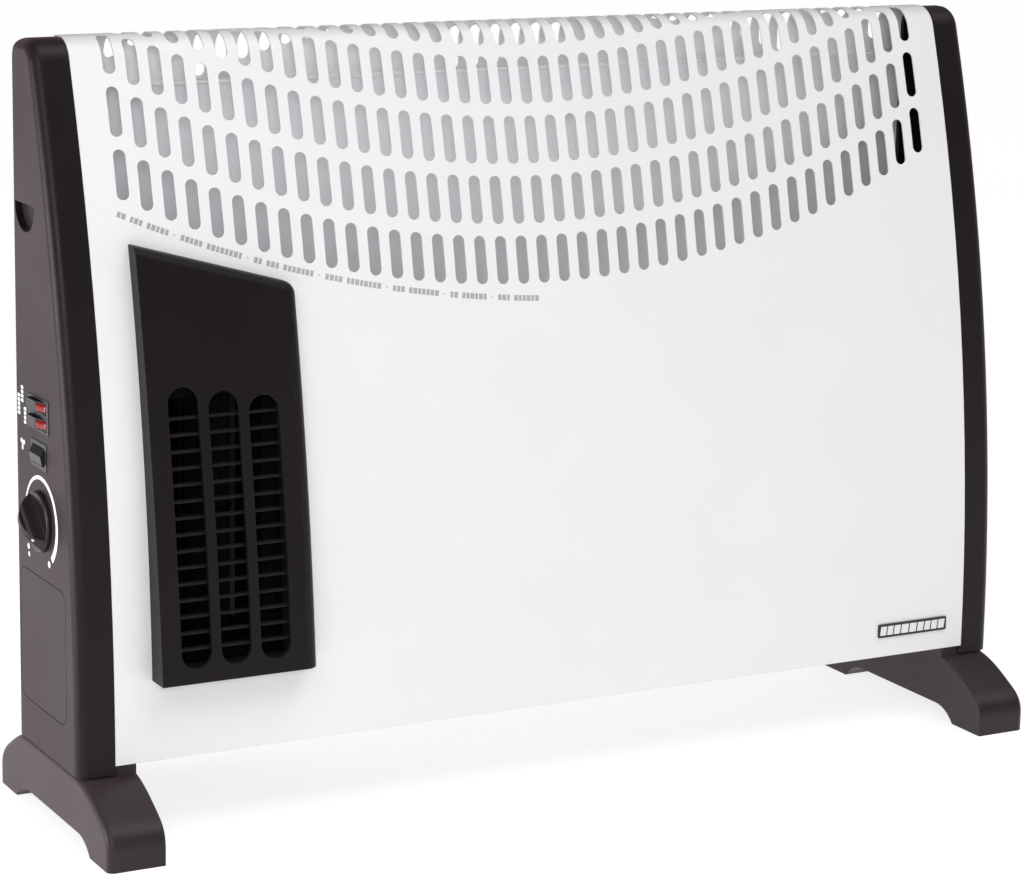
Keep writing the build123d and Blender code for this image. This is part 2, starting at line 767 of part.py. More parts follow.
plain_housing = switch_housing(fan_switch_z, fan_switch_width, fan_switch_height, bezel_lip)
with BuildPart() as fan_switch_housing:
    add(plain_housing)
    with Locations((pivot_x, switch_y, fan_switch_z)):
        Cylinder(pin_radius, fan_switch_width - 0.6, rotation=(90, 0, 0))
save(fan_switch_housing.part, "fan_switch_housing")

with BuildPart() as fan_rocker:
    across = fan_switch_width - 2.0 - 0.8
    with BuildSketch(Plane.XZ.offset(-(switch_y + across / 2))):
        outline = tipped(rocker_outline(fan_length), rocker_tilt)
        Polygon(*[(pivot_x - b, fan_switch_z - a) for a, b in outline], align=None)
    extrude(amount=across)
    with Locations((pivot_x, switch_y, fan_switch_z)):
        Cylinder(pin_radius + running_gap, 2 * across, rotation=(90, 0, 0), mode=Mode.SUBTRACT)
save(fan_rocker.part, "fan_rocker")

# ------------------------------------------------------------------ fan and motor
duct_wall = 1.5
duct_radius = fan_radius + 4.0
duct_low_z = fan_low_z - 4.0
duct_high_z = fan_high_z + 4.0
duct_throat = 14.0
duct_mouth_back_y = base_front_y + 19.0
mouth_margin = 2.5
hub_radius = 5.0
case_inside = case_face(sheet + 2 * running_gap, cap_bottom)

def duct_form(inset):
    """Round fan housing that runs forward into the wider mouth behind the panel, drawn in by inset."""
    radius = duct_radius + duct_wall - inset
    front = base_front_y - 1.0
    with BuildPart() as form:
        with BuildSketch(Plane.XY.offset(duct_low_z + inset)):
            with Locations((fan_x, fan_y)):
                Circle(radius)
            with Locations((fan_x, (front + fan_y) / 2)):
                Rectangle(2 * radius, fan_y - front)
        extrude(amount=duct_high_z - duct_low_z - 2 * inset)
        with Locations((fan_x, front, collar_middle_z)):
            Box(
                collar_width + 2 * (mouth_margin - inset), duct_mouth_back_y - front - inset,
                collar_top_z - collar_low_z + 2 * (mouth_margin - inset),
                align=(Align.CENTER, Align.MIN, Align.CENTER),
            )
    return form.part


duct_outside = duct_form(0.0)
duct_inside = duct_form(duct_wall)

with BuildPart() as fan_duct:
    add(duct_outside)
    add(duct_inside, mode=Mode.SUBTRACT)
    with BuildSketch(Plane.YZ.offset(fan_x - collar_width)):
        add(case_inside)
    extrude(amount=2 * collar_width, mode=Mode.INTERSECT)
    with Locations((fan_x + duct_radius, fan_y + duct_throat, (duct_low_z + duct_high_z) / 2)):
        Box(duct_radius, 2 * duct_throat, duct_high_z - duct_low_z - 4 * duct_wall, mode=Mode.SUBTRACT)
    with Locations((fan_x, fan_y, duct_high_z)):
        Cylinder(hub_radius + 1.5, 4 * duct_wall, mode=Mode.SUBTRACT)
    with Locations((fan_x, fan_y, duct_low_z)):
        Cylinder(hub_radius, 4 * duct_wall, mode=Mode.SUBTRACT)
save(fan_duct.part, "fan_duct")

with BuildPart() as fan_impeller:
    for level in (fan_low_z, (fan_low_z + fan_high_z) / 2, fan_high_z - 1.2):
        with BuildSketch(Plane.XY.offset(level)):
            with Locations((fan_x, fan_y)):
                Circle(fan_radius)
        extrude(amount=1.2)
    with BuildSketch(Plane.XY.offset(fan_low_z)):
        with Locations((fan_x, fan_y)):
            with PolarLocations(fan_radius - 3.6, blade_count):
                with Locations(Location((0, 0), 38)):
                    Rectangle(7.0, 0.9)
    extrude(amount=fan_high_z - fan_low_z)
    with BuildSketch(Plane.XY.offset(fan_high_z - 8.0)):
        with Locations((fan_x, fan_y)):
            Circle(hub_radius)
    extrude(amount=12.0)
    with Locations((fan_x, fan_y, fan_high_z)):
        Cylinder(shaft_radius, 16.0, mode=Mode.SUBTRACT)
    with Locations((fan_x, fan_y, fan_low_z)):
        Cylinder(shaft_radius, 8.0, align=(Align.CENTER, Align.CENTER, Align.MIN), mode=Mode.SUBTRACT)
save(fan_impeller.part, "fan_impeller")

with BuildPart() as impeller_stub:
    with Locations((fan_x, fan_y, fan_low_z + 4.0)):
        Cylinder(shaft_radius, 20.0, align=(Align.CENTER, Align.CENTER, Align.MAX))
save(impeller_stub.part, "impeller_stub")

with BuildPart() as stub_bearing:
    with Locations((fan_x, fan_y, duct_low_z - 1.5)):
        Cylinder(hub_radius + 2.0, 1.5, align=(Align.CENTER, Align.CENTER, Align.MAX))
        Cylinder(hub_radius, 4.5, align=(Align.CENTER, Align.CENTER, Align.MIN))
    with Locations((fan_x, fan_y, duct_low_z)):
        Cylinder(shaft_radius + running_gap, 20.0, mode=Mode.SUBTRACT)
save(stub_bearing.part, "stub_bearing")

shaft_top_z = motor_z + core_height + 14.0
with BuildPart() as motor_shaft:
    with Locations((fan_x, fan_y, fan_high_z - 7.0)):
        Cylinder(shaft_radius, shaft_top_z - fan_high_z + 7.0, align=(Align.CENTER, Align.CENTER, Align.MIN))
save(motor_shaft.part, "motor_shaft")

rotor_radius = 11.0
with BuildPart() as motor_rotor:
    with Locations((fan_x, fan_y, motor_z + core_height / 2)):
        Cylinder(rotor_radius, core_height)
        Cylinder(shaft_radius, core_height, mode=Mode.SUBTRACT)
save(motor_rotor.part, "motor_rotor")

core_width = 32.0
core_length = 58.0
core_limb = 9.0
coil_wall = 5.5
coil_x = fan_x + core_length - core_width / 2 - core_limb / 2
with BuildPart() as motor_core:
    with Locations((fan_x + (core_length - core_width) / 2, fan_y, motor_z + core_height / 2)):
        Box(core_length, core_width, core_height)
    with Locations((coil_x - core_limb / 2, fan_y, motor_z + core_height / 2)):
        Box(
            coil_wall + 8.5, core_width - 2 * core_limb, core_height,
            align=(Align.MAX, Align.CENTER, Align.CENTER), mode=Mode.SUBTRACT,
        )
    with Locations((fan_x, fan_y, motor_z + core_height / 2)):
        Cylinder(rotor_radius + 0.35, core_height, mode=Mode.SUBTRACT)
    fillet(edges().filter_by(Axis.Z).group_by(Axis.X)[0], 5.0)
save(motor_core.part, "motor_core")

with BuildPart() as motor_coil:
    with Locations((coil_x, fan_y, motor_z + core_height / 2)):
        Box(core_limb + 2 * coil_wall, core_width - 2 * core_limb - 0.6, core_height + 2 * coil_wall)
    fillet(edges().filter_by(Axis.Y), 2.5)
    with Locations((coil_x, fan_y, motor_z + core_height / 2)):
        Box(core_limb + 0.2, core_width, core_height + 0.2, mode=Mode.SUBTRACT)
save(motor_coil.part, "motor_coil")

with BuildPart() as motor_bridges:
    for level, up in ((motor_z, -1), (motor_z + core_height, 1)):
        with Locations((fan_x, fan_y, level + up * 4.0)):
            Box(20.0, core_width, 1.6)
        for side in (-1, 1):
            with Locations((fan_x, fan_y + side * (core_width / 2 - 2.5), level + up * 2.4)):
                Box(20.0, 5.0, 4.8)
        with Locations((fan_x, fan_y, level + up * 4.0)):
            Cylinder(4.0, 1.6, mode=Mode.SUBTRACT)
save(motor_bridges.part, "motor_bridges")

with BuildPart() as motor_bearings:
    for level in (motor_z - 4.0, motor_z + core_height + 4.0):
        with Locations((fan_x, fan_y, level)):
            Cylinder(4.0, 4.0)
            Cylinder(shaft_radius + running_gap, 4.0, mode=Mode.SUBTRACT)
save(motor_bearings.part, "motor_bearings")

# The duct's lid carries the motor on two pillars under its lower bridge
with BuildPart() as motor_pillars:
    pillar_low_z = duct_high_z
    pillar_high_z = motor_z - 4.8
    for side in (-1, 1):
        with Locations((fan_x, fan_y + side * (core_width / 2 - 2.5), (pillar_low_z + pillar_high_z) / 2)):
            Cylinder(2.4, pillar_high_z - pillar_low_z)
save(motor_pillars.part, "motor_pillars")

# ------------------------------------------------------------------ heating element and shields
element_length = element_right - element_left
element_middle = (element_right + element_left) / 2
shield_length = element_length + 6.0
wire_width = 1.4
wire_stand_off = 3.0
wire_loops = 26

with BuildPart() as heat_shield:
    with Locations((element_middle, back_y - 9.0, element_z + 22.0)):
        Box(shield_length, sheet, 2 * board_height + 20.0)
    with Locations((element_middle, back_y - 9.0 - 5.0, element_z + 78.0 - sheet / 2)):
        Box(shield_length, 10.0, sheet)
save(heat_shield.part, "heat_shield")

with BuildPart() as element_board:
    with Locations((element_middle, element_y, element_z)):
        Box(element_length, 1.0, board_height)
    with Locations((element_middle, element_y, element_z)):
        with GridLocations(element_length / wire_loops, 0.1, wire_loops, 1):
            Box(3.0, 2.0, 8.0, mode=Mode.SUBTRACT)
save(element_board.part, "element_board")


def element_wire(offset_y, height):
    """Resistance ribbon in upright loops along one face of the board."""
    step = (element_length - 24.0) / wire_loops
    with BuildPart() as ribbon:
        with BuildSketch(Plane.XZ.offset(-(element_y + offset_y))):
            for loop in range(wire_loops):
                x = element_left + 12.0 + step * (loop + 0.5)
                side = 1 if loop % 2 else -1
                with Locations((x - step / 2, element_z)):
                    Rectangle(wire_width, height)
                with Locations((x, element_z + side * height / 2)):
                    Rectangle(step + wire_width, wire_width)
            with Locations((element_right - 12.0, element_z)):
                Rectangle(wire_width, height)
        extrude(amount=0.4)
    return ribbon.part


save(element_wire(-wire_stand_off, board_height - 8.0), "element_wire_front")
save(element_wire(wire_stand_off, board_height - 8.0), "element_wire_rear")

with BuildPart() as element_brackets:
    for x in (element_left - 0.6, element_right + 0.6):
        with Locations((x, back_y - case_depth / 2 + 2.0, element_z - 4.0)):
            Box(1.2, case_depth - 24.0, board_height + 10.0)
    for x in (element_left - 0.6, element_right + 0.6):
        with Locations((x, element_y, element_z)):
            Box(1.2, 1.1, board_height, mode=Mode.SUBTRACT)
save(element_brackets.part, "element_brackets")

with BuildPart() as thermal_cutout:
    with Locations((mid_x - 60.0, back_y - 9.0 - sheet / 2, element_z + 40.0)):
        Cylinder(8.0, 6.0, rotation=(90, 0, 0), align=(Align.CENTER, Align.CENTER, Align.MIN))
    with Locations((mid_x - 60.0, back_y - 9.0 - sheet / 2 - 0.5, element_z + 40.0)):
        Box(24.0, 1.0, 6.0)
save(thermal_cutout.part, "thermal_cutout")

# ------------------------------------------------------------------ mains connection
with BuildPart() as terminal_block:
    with Locations((left_x + 16.0, dial_y - 4.0, 112.0)):
        Box(12.0, 36.0, 12.0)
        with GridLocations(0.1, 11.0, 1, 3):
            Cylinder(2.4, 14.0)
    with Locations((left_x + 16.0, dial_y - 4.0, 112.0)):
        with GridLocations(0.1, 11.0, 1, 3):
            Cylinder(1.4, 15.0, mode=Mode.SUBTRACT)
save(terminal_block.part, "terminal_block")

gland_bore_radius = 3.8
gland_length = 12.0
gland_flange_radius = 7.4
with BuildPart() as cord_gland:
    gland_mouth = Plane(origin=(gland_x, back_y + 1.6, gland_z), z_dir=(0, -1, 0))
    with BuildSketch(gland_mouth):
        Circle(gland_flange_radius)
    extrude(amount=1.6 + cap_inset)
    with BuildSketch(gland_mouth):
        Circle(gland_hole_radius)
    extrude(amount=gland_length)
    with BuildSketch(gland_mouth):
        Circle(gland_bore_radius)
    extrude(amount=gland_length, mode=Mode.SUBTRACT)
save(cord_gland.part, "cord_gland")


def lead(points, radius):
    """Round insulated lead along straight runs joined by arcs."""
    with BuildPart() as wire:
        with BuildLine() as route:
            FilletPolyline(*points, radius=lead_bend)
        with BuildSketch(Plane(origin=route.line @ 0, z_dir=route.line % 0)):
            Circle(radius)
        sweep(path=route.line)
    return wire.part


lead_bend = 7.0
lead_radius = 1.3
inner_x = left_x + 26.6
leads = {
    "element_lead_live": [
        (inner_x, switch_y + 6.0, power_switch_z[0]), (inner_x, 30.0, power_switch_z[0] + 20.0),
        (-160.0, 34.0, 232.0), (-130.0, 34.0, 200.0), (-130.0, 20.0, 110.0),
    ],
    "element_lead_neutral": [
        (inner_x, dial_y + 6.0, 124.0), (inner_x, 22.0, 112.0), (inner_x + 6.0, 20.0, 70.0),
        (-160.0, 20.0, 62.0), (-131.0, 16.0, 70.0),
    ],
    "fan_motor_lead": [
        (inner_x + 4.0, switch_y, fan_switch_z), (inner_x + 4.0, 20.0, 252.0),
        (coil_x, fan_y, 254.0), (coil_x, fan_y, motor_z + core_height + coil_wall),
    ],
    "earth_lead": [
        (inner_x, -6.0, 112.0), (inner_x + 4.0, 5.0, 96.0), (-222.0, 26.0, 84.0),
        (-222.0, back_y - sheet, 84.0),
    ],
}
for name, points in leads.items():
    save(lead(points, lead_radius), name)
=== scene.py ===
"""Fan convector heater: finishes, printed marks, floor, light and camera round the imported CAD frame.

Row frame in metres: X runs across the heater with the controls on the -X end, -Y is the front, +Z is up.
"""

import json
from math import asin, atan2, cos, hypot, pi, radians, sin, sqrt

import bmesh
import bpy
from mathutils import Matrix, Vector


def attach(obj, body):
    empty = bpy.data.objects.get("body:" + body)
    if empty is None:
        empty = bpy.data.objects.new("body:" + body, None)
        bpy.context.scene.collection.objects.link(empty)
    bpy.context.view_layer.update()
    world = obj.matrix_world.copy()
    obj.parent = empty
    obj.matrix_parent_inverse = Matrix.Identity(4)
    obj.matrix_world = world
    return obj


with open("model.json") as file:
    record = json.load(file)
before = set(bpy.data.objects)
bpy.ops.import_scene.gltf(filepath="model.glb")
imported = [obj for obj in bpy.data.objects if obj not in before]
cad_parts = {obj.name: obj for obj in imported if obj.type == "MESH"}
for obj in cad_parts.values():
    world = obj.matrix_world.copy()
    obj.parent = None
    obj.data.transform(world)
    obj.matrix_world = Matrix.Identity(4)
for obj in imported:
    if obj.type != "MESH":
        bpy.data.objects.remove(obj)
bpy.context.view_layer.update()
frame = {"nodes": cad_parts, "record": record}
scene = bpy.context.scene

MM = 0.001

# Sheet-metal front: an upright circular bow
BASE_FRONT_Y = -39.8 * MM
BOW_RADIUS = 1088.0 * MM
PANEL_BOTTOM = 40.1 * MM
BOW_CENTRE_Y = BASE_FRONT_Y + BOW_RADIUS

# Control face on the left end cap
FACE_X = -259.5 * MM
DIAL_Y = 7.9 * MM
DIAL_Z = 151.2 * MM
PRINT_LIFT = 0.05 * MM
PRINT_SINK = 0.2


# ------------------------------------------------------------------ finishes
BEVEL_SAMPLES = 6
EDGE_RANGE = (0.995, 0.80)
CLOUD_SCALE, CLOUD_DETAIL = 14.0, 3.0
MIDDLE = (0.3, 0.7)
WEAR_SCALE, WEAR_DETAIL = 260.0, 3.0
WEAR_RANGE = (0.35, 0.65, 0.3, 1.0)
WORN_LIFT = 1.8


class Nodes:
    """Small helper that adds shader nodes to one material and links them."""

    def __init__(self, name):
        self.material = bpy.data.materials.new(name)
        self.material.use_nodes = True
        self.tree = self.material.node_tree
        self.shader = self.tree.nodes["Principled BSDF"]
        self.place = self.add("ShaderNodeTexCoord").outputs["Object"]

    def add(self, kind, **settings):
        node = self.tree.nodes.new(kind)
        for key, value in settings.items():
            setattr(node, key, value)
        return node

    def link(self, source, target):
        self.tree.links.new(source, target)

    def feed(self, socket, value):
        if isinstance(value, bpy.types.NodeSocket):
            self.link(value, socket)
        else:
            socket.default_value = value

    def noise(self, scale, detail=2.0, stretch=None):
        place = self.place
        if stretch:
            mapping = self.add("ShaderNodeMapping")
            mapping.inputs["Scale"].default_value = stretch
            self.link(place, mapping.inputs["Vector"])
            place = mapping.outputs["Vector"]
        node = self.add("ShaderNodeTexNoise")
        node.inputs["Scale"].default_value = scale
        node.inputs["Detail"].default_value = detail
        self.link(place, node.inputs["Vector"])
        return node.outputs["Fac"]

    def span(self, value, low, high, to_low, to_high):
        node = self.add("ShaderNodeMapRange")
        self.feed(node.inputs["Value"], value)
        for key, number in zip(("From Min", "From Max", "To Min", "To Max"), (low, high, to_low, to_high)):
            node.inputs[key].default_value = number
        return node.outputs["Result"]

    def maths(self, kind, a, b):
        node = self.add("ShaderNodeMath", operation=kind)
        self.feed(node.inputs[0], a)
        self.feed(node.inputs[1], b)
        return node.outputs[0]

    def mix(self, factor, a, b):
        node = self.add("ShaderNodeMix", data_type="RGBA")
        self.feed(node.inputs["Factor"], factor)
        self.feed(node.inputs["A"], a)
        self.feed(node.inputs["B"], b)
        return node.outputs["Result"]

    def patch(self, limits):
        """Mask for painted shade: 1 where all of X, Y and Z lie below their limits."""
        parts = self.add("ShaderNodeSeparateXYZ")
        self.link(self.place, parts.inputs[0])
        masks = [self.maths("LESS_THAN", parts.outputs[axis], limit) for axis, limit in zip("XYZ", limits)]
        return self.maths("MULTIPLY", self.maths("MULTIPLY", masks[0], masks[1]), masks[2])

    def edges(self, radius):
        """Rounded normal at sharp edges, and a mask that is 1 on them."""
        bevel = self.add("ShaderNodeBevel", samples=BEVEL_SAMPLES)
        bevel.inputs["Radius"].default_value = radius
        normal = self.add("ShaderNodeNewGeometry").outputs["Normal"]
        dot = self.add("ShaderNodeVectorMath", operation="DOT_PRODUCT")
        self.link(bevel.outputs["Normal"], dot.inputs[0])
        self.link(normal, dot.inputs[1])
        return bevel.outputs["Normal"], self.span(dot.outputs["Value"], *EDGE_RANGE, 0.0, 1.0)


def rgba(colour):
    return (*colour, 1.0)


def shaded(colour, factor):
    return tuple(min(1.0, channel * factor) for channel in colour)


def finish(name, colour, rough, metallic=0.0, grain=900.0, depth=0.00003, mottle=0.08, spread=0.06,
           edge=0.0003, wear=0.25, worn=None, specular=0.5, stretch=None, tint=(1.0, 1.0, 1.0),
           sheen=0.0, sheen_tint=(1.0, 1.0, 1.0), painted_shade_limits=None):
    """One procedural finish: cloudy colour, uneven gloss, fine grain, lightly worn edges and, where limits
    are given, a near-black patch of painted shade.
    """
    n = Nodes(name)
    cloud = n.noise(CLOUD_SCALE, CLOUD_DETAIL)
    fine = n.noise(grain, stretch=stretch)
    normal, edge_mask = n.edges(edge)
    darker, lighter = rgba(shaded(colour, 1 - mottle)), rgba(shaded(colour, 1 + mottle))
    tone = n.mix(n.span(cloud, *MIDDLE, 0.0, 1.0), darker, lighter)
    wear_noise = n.span(n.noise(WEAR_SCALE, WEAR_DETAIL), *WEAR_RANGE)
    worn_mask = n.maths("MULTIPLY", n.maths("MULTIPLY", edge_mask, wear_noise), wear)
    tone = n.mix(worn_mask, tone, rgba(worn or shaded(colour, WORN_LIFT)))
    # Painted shade: near black wherever the point lies below the given limits
    if painted_shade_limits:
        tone = n.mix(n.patch(painted_shade_limits), tone, rgba(PAINTED_SHADE_PATCH_BLACK))
    n.link(tone, n.shader.inputs["Base Color"])
    gloss = n.maths("ADD", n.span(cloud, *MIDDLE, rough - spread / 2, rough + spread / 2),
                    n.span(fine, *MIDDLE, -spread / 2, spread / 2))
    n.link(gloss, n.shader.inputs["Roughness"])
    bump = n.add("ShaderNodeBump")
    bump.inputs["Strength"].default_value = 1.0
    bump.inputs["Distance"].default_value = depth
    n.link(fine, bump.inputs["Height"])
    n.link(normal, bump.inputs["Normal"])
    n.link(bump.outputs["Normal"], n.shader.inputs["Normal"])
    n.shader.inputs["Metallic"].default_value = metallic
    n.shader.inputs["Specular IOR Level"].default_value = specular
    n.shader.inputs["Specular Tint"].default_value = rgba(tint)
    n.shader.inputs["Sheen Weight"].default_value = sheen
    n.shader.inputs["Sheen Tint"].default_value = rgba(sheen_tint)
    return n.material


# Near-black colour of the painted shade on the back sheet's inner face
PAINTED_SHADE_PATCH_BLACK = (0.006, 0.006, 0.006)
# The back sheet's inner face turns near black behind the fan, up to these limits in X, Y and Z: painted
# shade for the dark inside of the case seen through the outlet windows
PAINTED_SHADE_BEHIND_FAN = (-100.0 * MM, 39.8 * MM, 240.0 * MM)

FINISHES = {
    "white_sheet": finish("powder_coat_white", (0.84, 0.84, 0.83), 0.42, grain=1400.0, depth=0.00002,
                          mottle=0.012, spread=0.06, edge=0.0004, wear=0.10, worn=(0.70, 0.69, 0.66)),
    # Back sheet: the white powder coat made brighter and bluer than the front's, painted light for the
    # cool light on its inner face seen through the slots
    "rear_sheet": finish("powder_coat_back_painted_light_and_shade", (0.95, 0.955, 0.985), 0.45, grain=1400.0, depth=0.00002,
                         mottle=0.015, spread=0.06, edge=0.0004, wear=0.10, worn=(0.62, 0.62, 0.66),
                         painted_shade_limits=PAINTED_SHADE_BEHIND_FAN),
    "housing_plastic": finish("housing_brown_black", (0.0055, 0.0049, 0.0045), 0.42,
                              grain=1600.0, depth=0.00005, mottle=0.10, spread=0.08,
                              edge=0.0006, wear=0.25, worn=(0.04, 0.034, 0.033),
                              specular=0.22, tint=(1.0, 0.88, 0.90),
                              sheen=0.13, sheen_tint=(1.0, 0.58, 0.62)),
    "outlet_plastic": finish("outlet_brown_black", (0.0085, 0.0064, 0.0055), 0.42,
                             grain=1600.0, depth=0.00005, mottle=0.10, spread=0.08,
                             edge=0.0006, wear=0.25, worn=(0.035, 0.03, 0.029),
                             specular=0.15, sheen=0.035, sheen_tint=(0.75, 0.72, 1.0)),
    "knob_plastic": finish("knob_brown_black", (0.013, 0.010, 0.0095), 0.20, grain=1600.0, depth=0.00001,
                           mottle=0.08, edge=0.0005, wear=0.3, worn=(0.05, 0.045, 0.042), specular=0.30,
                           tint=(1.0, 0.85, 0.88)),
    "black_plastic": finish("switch_black", (0.008, 0.008, 0.009), 0.26, grain=1800.0, depth=0.00001,
                            mottle=0.10, edge=0.0003, wear=0.25, worn=(0.05, 0.05, 0.05)),
    "slate_plastic": finish("rocker_slate", (0.011, 0.010, 0.011), 0.22, grain=1800.0, depth=0.00001,
                            mottle=0.10, edge=0.0003, wear=0.25, worn=(0.06, 0.06, 0.07)),
    "red_lens": finish("lens_red", (0.20, 0.009, 0.009), 0.10, grain=1800.0, depth=0.000005,
                       mottle=0.15, edge=0.0003, wear=0.2, worn=(0.6, 0.12, 0.10)),
    "zinc_sheet": finish("zinc_plate", (0.55, 0.56, 0.58), 0.38, metallic=1.0, grain=600.0, mottle=0.12,
                         spread=0.15, wear=0.3),
    "screw_steel": finish("screw_zinc", (0.58, 0.58, 0.60), 0.30, metallic=1.0, grain=1500.0, mottle=0.1,
                          wear=0.4),
    "shaft_steel": finish("ground_steel", (0.60, 0.60, 0.62), 0.22, metallic=1.0, grain=1200.0,
                          stretch=(1.0, 1.0, 0.05), mottle=0.06),
    "laminated_steel": finish("laminations", (0.20, 0.20, 0.21), 0.45, metallic=0.8, grain=900.0,
                              stretch=(0.05, 0.05, 3.0), depth=0.00015, mottle=0.15),
    "mica_board": finish("mica", (0.55, 0.50, 0.38), 0.55, grain=500.0, depth=0.0001,
                         mottle=0.18, spread=0.1),
    "heating_ribbon": finish("oxidised_ribbon", (0.22, 0.19, 0.16), 0.42, metallic=0.9, mottle=0.2),
    "coil_enamel": finish("enamelled_copper", (0.45, 0.16, 0.06), 0.28, metallic=0.7, grain=700.0,
                          stretch=(0.05, 3.0, 0.05), depth=0.0002, mottle=0.12),
    "phenolic": finish("phenolic_brown", (0.055, 0.028, 0.016), 0.45, mottle=0.15),
    "nylon_white": finish("nylon", (0.72, 0.70, 0.62), 0.42, mottle=0.04),
    "bearing_bronze": finish("sintered_bronze", (0.50, 0.30, 0.12), 0.40, metallic=1.0, mottle=0.12),
    "lead_brown": finish("sleeve_brown", (0.09, 0.035, 0.015), 0.45, mottle=0.08),
    "lead_blue": finish("sleeve_blue", (0.015, 0.04, 0.28), 0.45, mottle=0.08),
    "lead_green": finish("sleeve_green", (0.04, 0.20, 0.02), 0.45, mottle=0.08),
    "badge_black": finish("badge_ink", (0.012, 0.012, 0.013), 0.30, mottle=0.08, wear=0.2),
}
PRINT_WHITE = finish("print_white", (0.80, 0.80, 0.78), 0.50, grain=2500.0, depth=0.00001, mottle=0.05)
PRINT_GREY = finish("print_grey", (0.40, 0.40, 0.41), 0.50, grain=2500.0, depth=0.00001, mottle=0.10)

# Painted shade: near-black matt finish in place of their slots' finishes for the duct, impeller, stub and
# shaft, keeping the view through the outlet windows dark
INSIDE_SHADE_MATT_BLACK = finish("duct_and_shaft_painted_shade_black", (0.004, 0.005, 0.004), 0.85, grain=1200.0, specular=0.05, wear=0.0)
# Feet: a paler copy of the housing plastic, painted light for the light their front and top faces catch
FOOT_PAINTED_LIGHT_BROWN = finish("foot_brown_black_painted_light", (0.020, 0.0155, 0.0155), 0.42, grain=1500.0, depth=0.00006,
                    mottle=0.10, spread=0.08, edge=0.0006, wear=0.25, worn=(0.05, 0.044, 0.043),
                    specular=0.28, tint=(1.0, 0.88, 0.90), sheen=0.16, sheen_tint=(1.0, 0.66, 0.72))

# Nodes that don't take the finish of their slot: painted shade for the parts seen through the outlet
# windows, painted light for the feet
OWN_FINISH = {
    "fan_duct": INSIDE_SHADE_MATT_BLACK,
    "fan_impeller": INSIDE_SHADE_MATT_BLACK,
    "impeller_stub": INSIDE_SHADE_MATT_BLACK,
    "motor_shaft": INSIDE_SHADE_MATT_BLACK,
    "left_foot": FOOT_PAINTED_LIGHT_BROWN,
    "right_foot": FOOT_PAINTED_LIGHT_BROWN,
}
SHARP_ANGLE = radians(28)

for part in frame["record"]["subparts"]:
    node = frame["nodes"][part["node"]]
    mesh = node.data
    mesh.materials.clear()
    mesh.materials.append(OWN_FINISH.get(part["node"], FINISHES[part["material_slot"]]))
    mesh.shade_smooth()
    mesh.set_sharp_from_angle(angle=SHARP_ANGLE)


# ------------------------------------------------------------------ printed marks
def front_y(z):
    return BOW_CENTRE_Y - sqrt(BOW_RADIUS ** 2 - (z - PANEL_BOTTOM) ** 2)


def front_place(x, z):
    """Point on the bowed front and the two directions along it: across, and up its slope."""
    radius_y = BOW_CENTRE_Y - front_y(z)
    up = Vector((0, (z - PANEL_BOTTOM) / BOW_RADIUS, radius_y / BOW_RADIUS))
    return Vector((x, front_y(z), z)), Vector((1, 0, 0)), up


def face_place(y, z):
    """Point on the control face; across runs towards the front, as seen from the control end."""
    return Vector((FACE_X, y, z)), Vector((0, -1, 0)), Vector((0, 0, 1))


def slab(bm, centre, across, up, outline):
    """Adds a thin slab whose outline, as (across, up) pairs, lies on the surface at centre."""
    out = across.cross(up).normalized() * PRINT_LIFT
    low = [bm.verts.new(centre + across * a + up * b - out * PRINT_SINK) for a, b in outline]
    top = [bm.verts.new(centre + across * a + up * b + out) for a, b in outline]
    bm.faces.new(top)
    bm.faces.new(low[::-1])
    for i in range(len(outline)):
        j = (i + 1) % len(outline)
        bm.faces.new((low[i], low[j], top[j], top[i]))


def bar(width, height, lean=0.0, turn=0.0):
    """Upright rectangle outline, leaning by lean and turned by turn radians."""
    signs = ((-1, -1), (1, -1), (1, 1), (-1, 1))
    corners = [(i * width / 2 + j * height / 2 * lean, j * height / 2) for i, j in signs]
    return [(a * cos(turn) - b * sin(turn), a * sin(turn) + b * cos(turn)) for a, b in corners]


def disc(radius, count=20, centre=(0.0, 0.0)):
    turns = [2 * pi * i / count for i in range(count)]
    return [(centre[0] + radius * cos(t), centre[1] + radius * sin(t)) for t in turns]


def piece(name, bm, material, body):
    mesh = bpy.data.meshes.new(name)
    bmesh.ops.recalc_face_normals(bm, faces=bm.faces)
    bm.to_mesh(mesh)
    bm.free()
    obj = bpy.data.objects.new(name, mesh)
    scene.collection.objects.link(obj)
    mesh.materials.append(material)
    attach(obj, body)
    return obj


# Plain blocks in seven groups stand where the front carries a line of print
LINE_POINTS = ((-0.2257, 0.3002), (-0.1080, 0.2617), (-0.0020, 0.2464))
LINE_GROUPS = ((2, 3, 5), (5, 8), (2, 3, 7), (4, 8), (3, 7), (2, 6), (3, 6))
BLOCK_WIDTHS = (1.35, 1.6, 1.15, 1.5, 1.25)
BLOCK_HEIGHT = 2.8 * MM
BLOCK_GAP = 0.5
WORD_GAP = 1.5
GROUP_GAP = 2.2
DASH_WIDTH = 1.0
DASH_HEIGHT = 0.4 * MM


def circle_through(a, b, c):
    """Centre and radius of the circle through three points in a plane."""
    (ax, ay), (bx, by), (cx, cy) = a, b, c
    a2, b2, c2 = ax ** 2 + ay ** 2, bx ** 2 + by ** 2, cx ** 2 + cy ** 2
    d = 2 * (ax * (by - cy) + bx * (cy - ay) + cx * (ay - by))
    ux = (a2 * (by - cy) + b2 * (cy - ay) + c2 * (ay - by)) / d
    uy = (a2 * (cx - bx) + b2 * (ax - cx) + c2 * (bx - ax)) / d
    return ux, uy, hypot(ax - ux, ay - uy)


